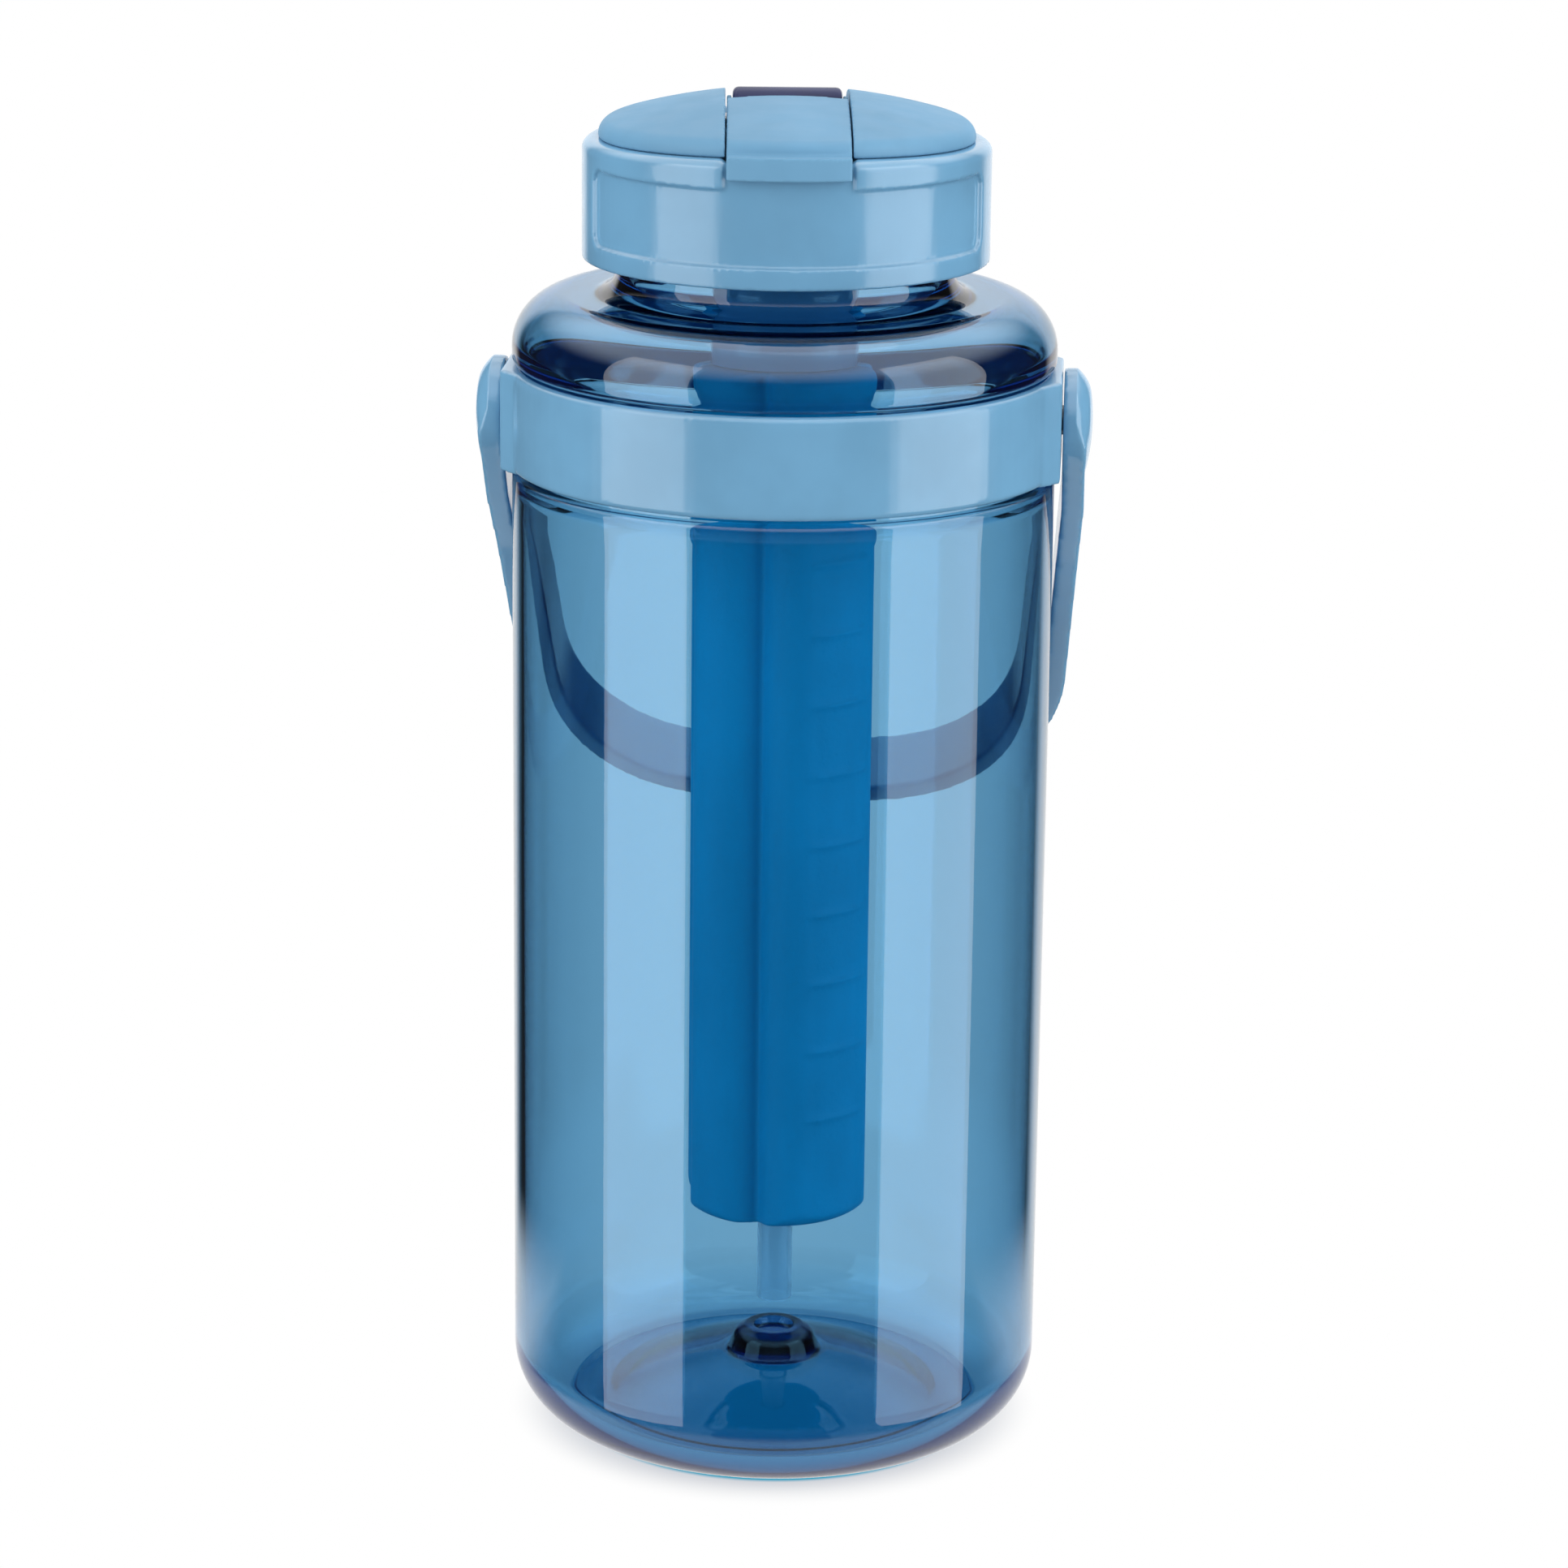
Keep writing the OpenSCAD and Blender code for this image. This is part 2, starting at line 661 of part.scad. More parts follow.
module lid_liner() {
    plate_z = liner_top_z - liner_t;
    skirt_z = collar_z + liner_skirt_gap;
    color([0.45, 0.65, 0.80]) on_lid() {
        difference() {
            translate([0, 0, plate_z]) ring(liner_r, pan_r + press_gap, liner_t);
            translate([0, vent_y, plate_z - cut]) cylinder(r = vent_r, h = liner_t + 2 * cut);
        }
        translate([0, 0, skirt_z]) ring(liner_r, liner_inner_r, plate_z - skirt_z + liner_t / 2);
    }
}

// A hinge pin on the +X side, held by the channel's wall
module hinge_pin() {
    length = pin_grip + channel_w / 2 + shell_t - drum_half;
    color([0.75, 0.78, 0.80]) on_lid() translate([drum_half - pin_grip, 0, 0]) at_hinge()
        cylinder(r = hinge_r, h = length);
}

module hinge_pin_left() {
    rotate([0, 0, 2 * lid_stop_angle]) mirror([1, 0, 0]) hinge_pin();
}

module hinge_pin_right() {
    hinge_pin();
}

module spout_seal() {
    color([0.80, 0.86, 0.90]) on_lid() difference() {
        translate([0, hinge_y, seal_z]) ring(seal_r - press_gap, port_r, pocket_z - seal_z);
        translate([-seal_r - cut, 0, 0]) at_hinge()
            cylinder(r = drum_r + running_gap, h = 2 * (seal_r + cut));
    }
}

module vent_valve() {
    stem_h = deck_t + liner_t;
    color([0.80, 0.86, 0.90]) on_lid() translate([0, vent_y, liner_top_z - liner_t]) {
        translate([0, 0, -vent_flange_t]) cylinder(r = vent_flange_r, h = vent_flange_t);
        translate([0, 0, -vent_flange_t / 2])
            cylinder(r = vent_r - press_gap, h = stem_h + vent_flange_t / 2);
    }
}

// Space under the flip cover, between its cheeks
module flap_hollow() {
    half = flap_w / 2 - lug_t;
    intersection() {
        rotate_extrude($fn = 180)
            dome_top_2d(dome_wall_r - lip_t, dome_round - lip_t, crest_z - flap_sink - flap_t,
                        flap_dome_r - flap_t, ledge_z - cut);
        translate([-half, -lip_r, ledge_z - 2 * cut]) cube([2 * half, 2 * lip_r, crest_z]);
    }
}

module flip_cover() {
    half = flap_w / 2;
    low_z = ledge_z + ledge_t - lip_h;
    cheek_z = deck_z + side_gap;
    color([0.45, 0.65, 0.80]) on_lid() difference() {
        union() {
            difference() {
                intersection() {
                    rotate_extrude($fn = 180) {
                        dome_top_2d(dome_wall_r, dome_round, crest_z - flap_sink, flap_dome_r, ledge_z);
                        translate([0, ledge_z]) square([lip_r, ledge_t]);
                        translate([lip_r - lip_t, low_z]) square([lip_t, lip_h]);
                    }
                    translate([-half, -lip_r - cut, low_z - cut])
                        cube([flap_w, lip_r + cut + hinge_y, crest_z]);
                }
                flap_hollow();
                translate([0, 0, ledge_z - cut])
                    cylinder(r = dome_wall_r - lip_t * (1 + cheek_step_share), h = cheek_z - ledge_z + cut);
                translate([0, hinge_y, hinge_z]) rotate([-flap_cut_angle, 0, 0])
                    translate([-half - cut, -flap_cut_r, -collar_r])
                        cube([flap_w + 2 * cut, collar_r, 2 * collar_r]);
            }
            for (side = [-1, 1])
                translate([side * (half - lug_t / 2), 0, 0]) at_hinge() {
                    cylinder(r = lug_r, h = lug_t, center = true);
                    translate([-lug_r * lug_arm_share, -flap_cut_r - lug_r, -lug_t / 2])
                        cube([lug_r * lug_arm_share + hinge_z - cheek_z, flap_cut_r + lug_r, lug_t]);
                }
        }
        translate([-half - cut, 0, 0]) at_hinge() cylinder(r = hinge_r + running_gap, h = flap_w + 2 * cut);
    }
}

module spout() {
    bore_len = nozzle_len + cut;
    color([0.06, 0.08, 0.26]) on_lid() translate([0, hinge_y, hinge_z])
    rotate([nozzle_dip, 0, 0]) difference() {
        union() {
            translate([-drum_half, 0, 0]) rotate([0, 90, 0]) bullet(drum_r, 2 * drum_half, drum_edge);
            intersection() {
                translate([-nozzle_w / 2, -nozzle_len, -nozzle_h / 2])
                    cube([nozzle_w, nozzle_len, nozzle_h]);
                union() {
                    for (side = [-1, 1])
                        translate([side * (nozzle_w - nozzle_h) / 2, -nozzle_len, 0]) rotate([-90, 0, 0])
                            cylinder(r = nozzle_h / 2, h = nozzle_len);
                    translate([-(nozzle_w - nozzle_h) / 2, -nozzle_len, -nozzle_h / 2])
                        cube([nozzle_w - nozzle_h, nozzle_len, nozzle_h]);
                }
            }
        }
        rotate([90, 0, 0]) cylinder(r = nozzle_bore_r, h = bore_len);
        translate([0, drum_r + cut, 0]) rotate([90, 0, 0]) cylinder(r = drum_bore_r, h = 2 * drum_r);
        for (side = [-1, 1])
            translate([side * (drum_half + cut) , 0, 0]) rotate([0, -side * 90, 0])
                cylinder(r = hinge_r + running_gap, h = pin_grip + cut + running_gap);
    }
}

module core_coupler() {
    color([0.45, 0.65, 0.80]) on_lid() difference() {
        union() {
            translate([0, 0, coupler_z]) cylinder(r = coupler_r, h = coupler_len);
            translate([0, 0, boss_z - coupler_flange_t])
                cylinder(r = coupler_flange_r, h = coupler_flange_t);
        }
        translate([0, 0, coupler_z - cut])
            cylinder(r = coupler_inner_r, h = coupler_len - coupler_flange_t + cut);
        translate([0, 0, boss_z - coupler_flange_t - cut])
            cylinder(r = adapter_r + press_gap, h = coupler_flange_t + 2 * cut);
        translate([0, 0, boss_z - 2 * oring_r])
            ring(oring_mid_r + oring_r, oring_mid_r - oring_r, 2 * oring_r + cut);
    }
}

module coupler_seal() {
    color([0.15, 0.15, 0.17]) on_lid() translate([0, 0, boss_z - oring_r])
        rotate_extrude() translate([oring_mid_r, 0]) circle(oring_r);
}

module straw_adapter() {
    color([0.80, 0.86, 0.90]) on_lid() difference() {
        union() {
            translate([0, 0, boss_z - adapter_len]) cylinder(r = adapter_r, h = adapter_len);
            translate([0, 0, boss_z - coupler_flange_t - adapter_flange_t])
                cylinder(r = adapter_flange_r, h = adapter_flange_t);
        }
        translate([0, 0, boss_z - adapter_len - cut])
            cylinder(r = straw_r, h = adapter_len - straw_seat + cut);
        translate([0, 0, boss_z - straw_seat - cut]) cylinder(r = port_r, h = straw_seat + 2 * cut);
    }
}

module straw() {
    color([0.80, 0.88, 0.92, 0.5]) on_lid() translate([0, 0, straw_low_z])
        ring(straw_r, straw_r - straw_wall, straw_top_z - straw_low_z);
}

// Cross-section of the core: two wide and two narrow lobes
module core_section_2d(inset) {
    wedge = 2 * core_r * [sin(flank_angle), cos(flank_angle)];
    circle(core_heart_r - inset);
    for (turn = [0, 180]) {
        rotate(turn) intersection() {
            circle(core_r - inset);
            polygon([[0, 0], [-wedge[0], -wedge[1]], [wedge[0], -wedge[1]]]);
        }
        for (side = [-flank_angle, flank_angle])
            rotate(turn + side) translate([0, -flank_d]) circle(flank_r - inset);
        rotate(turn + 90) translate([0, -narrow_d]) circle(narrow_r - inset);
    }
}

// The lobed bar of the core, drawn in on every side by an inset
module core_form(inset) {
    h = core_top_z - core_low_z - 2 * inset;
    edge = core_edge - inset;
    translate([0, 0, core_low_z + inset]) intersection() {
        linear_extrude(h) core_section_2d(inset);
        bullet(core_r + core_edge_gap - inset, h, edge);
    }
}

module core_body() {
    neck_hole_r = core_neck_r - core_neck_wall;
    mark_z = core_low_z + mark_low;
    color([0.0, 0.42, 0.65]) on_lid() rotate([0, 0, core_angle]) difference() {
        union() {
            difference() {
                union() {
                    core_form(0);
                    translate([0, 0, core_top_z - core_wall / 2])
                        cylinder(r = core_neck_r, h = core_neck_h + core_wall / 2);
                }
                core_form(core_wall);
                translate([0, 0, core_top_z - 2 * core_wall])
                    cylinder(r = neck_hole_r, h = core_neck_h + 2 * core_wall + cut);
            }
            translate([0, 0, core_low_z + core_wall / 2])
                cylinder(r = tunnel_r + tunnel_wall,
                         h = core_top_z + core_neck_h - core_low_z - core_wall / 2);
            for (i = [0 : mark_count - 1])
                translate([0, 0, mark_z + i * mark_pitch]) rotate([0, 0, -90 - mark_half_angle])
                    rotate_extrude(angle = 2 * mark_half_angle)
                        translate([core_r, 0]) circle(mark_r, $fn = 24);
        }
        translate([0, 0, core_low_z - cut])
            cylinder(r = tunnel_r, h = core_top_z + core_neck_h - core_low_z + 2 * cut);
    }
}

module core_gel() {
    color([0.55, 0.75, 0.90]) on_lid() rotate([0, 0, core_angle]) difference() {
        core_form(core_wall + gel_gap);
        translate([0, 0, core_low_z])
            cylinder(r = tunnel_r + tunnel_wall + gel_gap, h = core_top_z - core_low_z);
        translate([0, 0, core_top_z - gel_head_room]) cylinder(r = core_r, h = gel_head_room);
    }
}

module core_cap() {
    hole_r = tunnel_r + tunnel_wall + press_gap;
    neck_hole_r = core_neck_r - core_neck_wall - press_gap;
    top_z = core_top_z + core_neck_h;
    color([0.45, 0.65, 0.80]) on_lid() {
        translate([0, 0, top_z - cap_t]) ring(neck_hole_r, hole_r, cap_t + cap_flange_t / 2);
        translate([0, 0, top_z]) ring(core_neck_r, hole_r, cap_flange_t);
    }
}

bottle_body();
carry_band();
pivot_pin_left();
pivot_pin_right();
carry_handle();
lid_gasket();
lid_collar();
lid_top();
lid_liner();
hinge_pin_left();
hinge_pin_right();
spout_seal();
vent_valve();
flip_cover();
spout();
core_coupler();
coupler_seal();
straw_adapter();
straw();
core_body();
core_gel();
core_cap();
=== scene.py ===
"""Looks of the pitcher with ice core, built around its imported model.

Lengths are metres. The bottle's outline is in millimetres.
"""

import json
import math

import bmesh
import bpy
from mathutils import Matrix, Vector


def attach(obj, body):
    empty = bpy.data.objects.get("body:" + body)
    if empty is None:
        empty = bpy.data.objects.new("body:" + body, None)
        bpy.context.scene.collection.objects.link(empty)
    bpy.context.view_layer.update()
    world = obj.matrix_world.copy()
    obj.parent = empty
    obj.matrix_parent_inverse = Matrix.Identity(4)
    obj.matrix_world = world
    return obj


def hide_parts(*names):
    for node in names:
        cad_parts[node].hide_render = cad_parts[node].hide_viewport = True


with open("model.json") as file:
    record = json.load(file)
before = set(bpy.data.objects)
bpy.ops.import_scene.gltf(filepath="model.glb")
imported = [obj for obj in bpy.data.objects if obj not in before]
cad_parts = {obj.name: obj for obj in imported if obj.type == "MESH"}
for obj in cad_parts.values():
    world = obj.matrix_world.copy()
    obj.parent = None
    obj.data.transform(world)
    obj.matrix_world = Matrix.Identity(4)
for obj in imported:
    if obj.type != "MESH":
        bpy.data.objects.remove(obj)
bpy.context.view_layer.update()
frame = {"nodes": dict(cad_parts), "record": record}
nodes = frame["nodes"]
record = frame["record"]
joints = {joint["name"]: joint for joint in record["behaviour"]["joints"]}
scene = bpy.context.scene
scene.view_settings.view_transform = "Standard"

MM = 0.001
WHITE = (1, 1, 1, 1)


# ---------------------------------------------------------------- camera
CAMERA_TURN = math.radians(3.56)
CAMERA_PITCH = 0.27266  # downwards, in radians
CAMERA_ROLL = 0.01159
CAMERA_PLACE = Vector((0.06329, -1.00359, 0.41745))
CAMERA_LENS = 116.07
SENSOR_W = 36
CLIP_END = 50


def make_camera():
    turn = Matrix.Rotation(CAMERA_TURN, 3, "Z")
    ahead = Vector((0, math.cos(CAMERA_PITCH), -math.sin(CAMERA_PITCH)))
    level = Vector((1, 0, 0))
    above = Vector((0, math.sin(CAMERA_PITCH), math.cos(CAMERA_PITCH)))
    right = math.cos(CAMERA_ROLL) * level + math.sin(CAMERA_ROLL) * above
    up = -math.sin(CAMERA_ROLL) * level + math.cos(CAMERA_ROLL) * above
    axes = Matrix((turn @ right, turn @ up, turn @ -ahead)).transposed()
    data = bpy.data.cameras.new("camera")
    data.sensor_width = SENSOR_W
    data.lens = CAMERA_LENS
    data.clip_end = CLIP_END
    camera = bpy.data.objects.new("camera", data)
    camera.matrix_world = Matrix.Translation(CAMERA_PLACE) @ axes.to_4x4()
    scene.collection.objects.link(camera)
    scene.camera = camera


# ---------------------------------------------------------------- lamps
ENERGY_PER_RADIANCE = 4  # watts per square metre of a lamp, for a radiance of one
SOFTBOX_DISTANCE = 1.2
SOFTBOX_LOW = -0.56
SOFTBOX_HIGH = 1.3
SOFTBOX_RADIANCE = 2.1
SOFTBOXES = {"softbox_left": (-59, 0.86), "softbox_right": (68, 1.0)}  # angle, width
OVERHEAD_PLACE = Vector((0.1, 0.25, 1.9))
OVERHEAD_SIZE = 1.2
OVERHEAD_RADIANCE = 0.8


def area_light(name, shape, width, height, place, backwards, radiance):
    """A lamp at a place, whose back points along the given direction."""
    area = width * height * (math.pi / 4 if shape == "DISK" else 1)
    data = bpy.data.lights.new(name, "AREA")
    data.shape = shape
    data.size = width
    data.size_y = height
    data.energy = ENERGY_PER_RADIANCE * radiance * area
    light = bpy.data.objects.new(name, data)
    aim = backwards.to_track_quat("Z", "Y").to_matrix().to_4x4()
    light.matrix_world = Matrix.Translation(place) @ aim
    scene.collection.objects.link(light)


def make_lamps():
    """Two upright softboxes beside the camera, right positive, and a disc overhead."""
    middle = Vector((0, 0, (SOFTBOX_LOW + SOFTBOX_HIGH) / 2))
    height = SOFTBOX_HIGH - SOFTBOX_LOW
    for name, (angle, width) in SOFTBOXES.items():
        turn = Matrix.Rotation(CAMERA_TURN + math.radians(angle), 3, "Z")
        way = turn @ Vector((0, -1, 0))
        place = way * SOFTBOX_DISTANCE + middle
        area_light(name, "RECTANGLE", width, height, place, way, SOFTBOX_RADIANCE)
    size = OVERHEAD_SIZE
    area_light("overhead", "DISK", size, size, OVERHEAD_PLACE, OVERHEAD_PLACE, OVERHEAD_RADIANCE)


# ---------------------------------------------------------------- node trees
class Tree:
    """The node tree of a material or of the world."""

    def __init__(self, owner):
        owner.use_nodes = True
        self.owner = owner
        self.tree = owner.node_tree
        self.tree.nodes.clear()

    def node(self, kind, inputs=None, **settings):
        made = self.tree.nodes.new("ShaderNode" + kind)
        for name, value in settings.items():
            setattr(made, name, value)
        for key, value in (inputs or {}).items():
            self.put(made.inputs[key], value)
        return made

    def put(self, socket, value):
        if isinstance(value, bpy.types.NodeSocket):
            self.tree.links.new(value, socket)
        elif isinstance(value, bpy.types.Node):
            self.tree.links.new(value.outputs[0], socket)
        else:
            socket.default_value = value

    def math(self, operation, a, b, clamp=False):
        made = self.node("Math", {0: a, 1: b}, operation=operation, use_clamp=clamp)
        return made.outputs[0]

    def ramp(self, value, low, high, to_low=0.0, to_high=1.0):
        made = self.node("MapRange", {0: value, 1: low, 2: high, 3: to_low, 4: to_high})
        made.interpolation_type = "SMOOTHSTEP"
        return made.outputs[0]

    def mix(self, factor, a, b):
        made = self.node("Mix", data_type="RGBA")
        self.put(made.inputs[0], factor)
        self.put(made.inputs[6], a)
        self.put(made.inputs[7], b)
        return made.outputs[2]

    def any_of(self, path, depth):
        """One for light that has been mirrored or scattered at least once."""
        return self.math("MINIMUM", path.outputs[depth], 1.0)

    def seen(self, path):
        """One for what the camera sees, also through clear plastic."""
        camera, through = path.outputs["Is Camera Ray"], path.outputs["Is Transmission Ray"]
        return self.math("ADD", camera, through, clamp=True)

    def finish(self, surface, **more):
        self.node("OutputMaterial", {"Surface": surface, **more})
        return self.owner


# ---------------------------------------------------------------- studio
AMBIENT = 0.46
MIRRORED_ROOM = 0.03
BACKDROP_FROM, BACKDROP_FULL = 0.80, 0.90  # share of a direction that points to the back
OVERHEAD_GLOW = 2.2
GLOW_FROM, GLOW_FULL = 0.25, 0.7  # share of a direction that points up

FLOOR_R = 8
FLOOR_SIDES = 96
FLOOR_DROP = 0.0003
FLOOR_GREY = (0.82, 0.82, 0.82, 1)
# Painted light: the colour of the glow beneath the bottle, in place of light coloured blue by
# passing through it.
FOOT_PAINTED_LIGHT = (0.0, 0.34, 0.52, 1)
FOOT_SHADE = 0.0435  # radius of the painted blue light beneath the bottle, where the painted shade round the foot begins
FOOT_EDGE = 0.001
# Painted shade round the foot: the floor's white share rises from SHADE_SHARE at FOOT_SHADE to
# full at SHADE_END.
SHADE_END = 0.057
SHADE_SHARE = 0.6
MIRROR_FRONT = (0.070, 0.080)  # radii where the mirrored floor ends in front
MIRROR_BACK = (0.10, 0.17)
FRONT_EDGE = 0.02


def make_world():
    """White where it is seen, and a dark room with a pale back and top where mirrored."""
    world = bpy.data.worlds.new("studio")
    scene.world = world
    t = Tree(world)
    path = t.node("LightPath")
    mirrored = t.any_of(path, "Glossy Depth")
    scattered = t.any_of(path, "Diffuse Depth")
    unmirrored = t.math("SUBTRACT", 1.0, mirrored)
    straight = t.math("MULTIPLY", unmirrored, t.math("SUBTRACT", 1.0, scattered))
    seen = t.math("MULTIPLY", straight, t.seen(path))
    way = t.node("SeparateXYZ", {0: t.node("TexCoord").outputs["Generated"]})
    behind = t.ramp(way.outputs["Y"], BACKDROP_FROM, BACKDROP_FULL, MIRRORED_ROOM, 1.0)
    above = t.ramp(way.outputs["Z"], GLOW_FROM, GLOW_FULL, 0.0, OVERHEAD_GLOW)
    level = t.math("MAXIMUM", behind, above)
    room = t.node("CombineColor", {0: level, 1: level, 2: level})
    around = t.mix(scattered, room.outputs[0], (AMBIENT, AMBIENT, AMBIENT, 1))
    shown = t.mix(seen, around, WHITE)
    background = t.node("Background", {"Color": shown, "Strength": 1.0})
    t.node("OutputWorld", {"Surface": background})


def floor_material():
    """White where it is seen, with painted shade over the real shadow round the bottle's foot
    and painted blue light beneath it.
    """
    t = Tree(bpy.data.materials.new("floor"))
    path = t.node("LightPath")
    seen = t.seen(path)
    place = t.node("NewGeometry").outputs["Position"]
    flat = t.node("VectorMath", {0: place, 1: (1, 1, 0)}, operation="MULTIPLY")
    reach = t.node("VectorMath", {0: flat}, operation="LENGTH").outputs["Value"]

    pale = t.node("BsdfDiffuse", {"Color": FLOOR_GREY})
    white = t.node("Emission", {"Color": WHITE, "Strength": 1.0})
    # Painted light: a blue glow beneath the bottle in place of light coloured by the bottle.
    painted_tint_light = t.node("Emission", {"Color": FOOT_PAINTED_LIGHT, "Strength": 1.0})
    # Painted shade: less white near the foot lets the grey part, with its real shadow, darken
    # the floor round the bottle.
    share = t.math("MULTIPLY", seen, t.ramp(reach, FOOT_SHADE, SHADE_END, SHADE_SHARE, 1.0))
    open_floor = t.node("MixShader", {0: share, 1: pale, 2: white})
    # Where the painted blue light shows: within FOOT_SHADE of the axis, for what the camera
    # sees.
    foot = t.ramp(reach, FOOT_SHADE - FOOT_EDGE, FOOT_SHADE + FOOT_EDGE, 1.0, 0.0)
    under = t.math("MULTIPLY", seen, foot)
    surface = t.node("MixShader", {0: under, 1: open_floor, 2: painted_tint_light})

    depth = t.node("SeparateXYZ", {0: place}).outputs["Y"]
    front = t.ramp(depth, -FRONT_EDGE, FRONT_EDGE, 1.0, 0.0)
    front = t.math("MULTIPLY", front, t.ramp(reach, *MIRROR_FRONT))
    far = t.math("MAXIMUM", front, t.ramp(reach, *MIRROR_BACK))
    clear = t.node("BsdfTransparent")
    mirror_view = t.node("MixShader", {0: far, 1: white, 2: clear})
    mirrored = t.any_of(path, "Glossy Depth")
    return t.finish(t.node("MixShader", {0: mirrored, 1: surface, 2: mirror_view}))


def make_floor():
    mesh = bpy.data.meshes.new("floor")
    shape = bmesh.new()
    bmesh.ops.create_circle(shape, cap_ends=True, segments=FLOOR_SIDES, radius=FLOOR_R)
    shape.to_mesh(mesh)
    shape.free()
    floor = bpy.data.objects.new("floor", mesh)
    floor.location = (0, 0, -FLOOR_DROP)
    scene.collection.objects.link(floor)
    mesh.materials.append(floor_material())


# ---------------------------------------------------------------- materials
TRAPPED_AFTER = 2.5  # mirrorings after which light leaves clear plastic
CLOUD = (0.3, 0.7)  # where a noise turns from dark to light
FROST = (0.0, 0.7)
NAVY = ((0.004, 0.006, 0.035, 1), (0.010, 0.016, 0.075, 1))
STEEL = ((0.50, 0.51, 0.53, 1), (0.60, 0.61, 0.63, 1))
GEL = ((0.20, 0.42, 0.68, 1), (0.55, 0.72, 0.86, 1))
STRAW_TINT = (0.70, 0.84, 0.92, 1)


def object_place(t, stretch=(1, 1, 1)):
    place = t.node("TexCoord").outputs["Object"]
    return t.node("Mapping", {"Vector": place, "Scale": stretch}).outputs[0]


def noise(t, place, scale, detail=2.0):
    made = t.node("TexNoise", {"Vector": place, "Scale": scale, "Detail": detail})
    return made.outputs["Fac"]


def cells(t, place, scale, feature="F1"):
    made = t.node("TexVoronoi", {"Vector": place, "Scale": scale}, feature=feature)
    return made.outputs["Distance"]


def bump(t, height, distance, strength=1.0):
    inputs = {"Height": height, "Distance": distance, "Strength": strength}
    return t.node("Bump", inputs).outputs[0]


def two_tone(t, cloud, colour, dark, light):
    """A colour that is a little darker and lighter in clouds."""
    darker = tuple(dark * c for c in colour)
    lighter = tuple(min(1.0, light * c) for c in colour)
    return t.mix(t.ramp(cloud, *CLOUD), (*darker, 1), (*lighter, 1))


def see_through(t, surface):
    """Light from lamps, and light that a surface has scattered, passes straight on."""
    path = t.node("LightPath")
    scattered = t.any_of(path, "Diffuse Depth")
    passing = t.math("MAXIMUM", path.outputs["Is Shadow Ray"], scattered)
    trapped = t.math("GREATER_THAN", path.outputs["Glossy Depth"], TRAPPED_AFTER)
    passing = t.math("MAXIMUM", passing, trapped)
    clear = t.node("BsdfTransparent", {"Color": WHITE})
    return t.node("MixShader", {0: passing, 1: surface, 2: clear})


def tinted_plastic(name, tint, density, roughness, wave):
    """Clear plastic, coloured through its depth, with a slow wave in its surface."""
    t = Tree(bpy.data.materials.new(name))
    ripple = noise(t, object_place(t, (1, 1, 0.35)), scale=38, detail=1.0)
    surface = t.node(
        "BsdfPrincipled",
        {
            "Base Color": WHITE,
            "Roughness": roughness,
            "IOR": 1.5,
            "Transmission Weight": 1.0,
            "Normal": bump(t, ripple, wave),
        },
    )
    inside = t.node("VolumeAbsorption", {"Color": (*tint, 1), "Density": density})
    return t.finish(see_through(t, surface), Volume=inside)


def satin_plastic(name, colour, roughness=0.17, coat=0.35, specular=0.5):
    """Moulded plastic with a faint cloud and a fine pebble."""
    t = Tree(bpy.data.materials.new(name))
    place = object_place(t)
    pebble = noise(t, place, scale=3200)
    patches = noise(t, place, scale=160, detail=3.0)
    surface = t.node(
        "BsdfPrincipled",
        {
            "Base Color": two_tone(t, noise(t, place, scale=45, detail=3.0), colour, 0.93, 1.06),
            "Roughness": t.ramp(patches, *CLOUD, roughness - 0.03, roughness + 0.03),
            "IOR": 1.48,
            "Specular IOR Level": specular,
            "Coat Weight": coat,
            "Coat Roughness": 0.12,
            "Coat IOR": 1.5,
            "Normal": bump(t, pebble, distance=0.01 * MM, strength=0.5),
        },
    )
    return t.finish(surface)


def core_plastic(name, colour):
    """Blow-moulded plastic with a fine hide grain."""
    t = Tree(bpy.data.materials.new(name))
    place = object_place(t)
    cloud = noise(t, object_place(t, (1, 1, 0.4)), scale=30, detail=4.0)
    coarse = t.math("MULTIPLY", cells(t, place, scale=900, feature="SMOOTH_F1"), 0.7)
    fine = t.math("MULTIPLY", noise(t, place, scale=2400), 0.5)
    surface = t.node(
        "BsdfPrincipled",
        {
            "Base Color": two_tone(t, cloud, colour, 0.86, 1.12),
            "Roughness": t.ramp(cloud, 0.2, 0.8, 0.5, 0.6),
            "IOR": 1.49,
            "Specular IOR Level": 0.25,
            "Normal": bump(t, t.math("ADD", coarse, fine), distance=0.12 * MM, strength=0.7),
        },
    )
    return t.finish(surface)


def rubber(name, colour, roughness):
    t = Tree(bpy.data.materials.new(name))
    place = object_place(t)
    surface = t.node(
        "BsdfPrincipled",
        {
            "Base Color": two_tone(t, noise(t, place, scale=120), colour, 0.9, 1.06),
            "Roughness": roughness,
            "IOR": 1.41,
            "Normal": bump(t, noise(t, place, scale=2600), distance=0.02 * MM, strength=0.6),
        },
    )
    return t.finish(surface)


def navy_plastic(name):
    t = Tree(bpy.data.materials.new(name))
    place = object_place(t)
    streak = t.ramp(noise(t, object_place(t, (0.25, 1, 1)), scale=260, detail=3.0), *CLOUD)
    surface = t.node(
        "BsdfPrincipled",
        {
            "Base Color": t.mix(streak, *NAVY),
            "Roughness": 0.25,
            "IOR": 1.5,
            "Specular IOR Level": 0.12,
            "Normal": bump(t, noise(t, place, scale=900), distance=0.01 * MM, strength=0.4),
        },
    )
    return t.finish(surface)


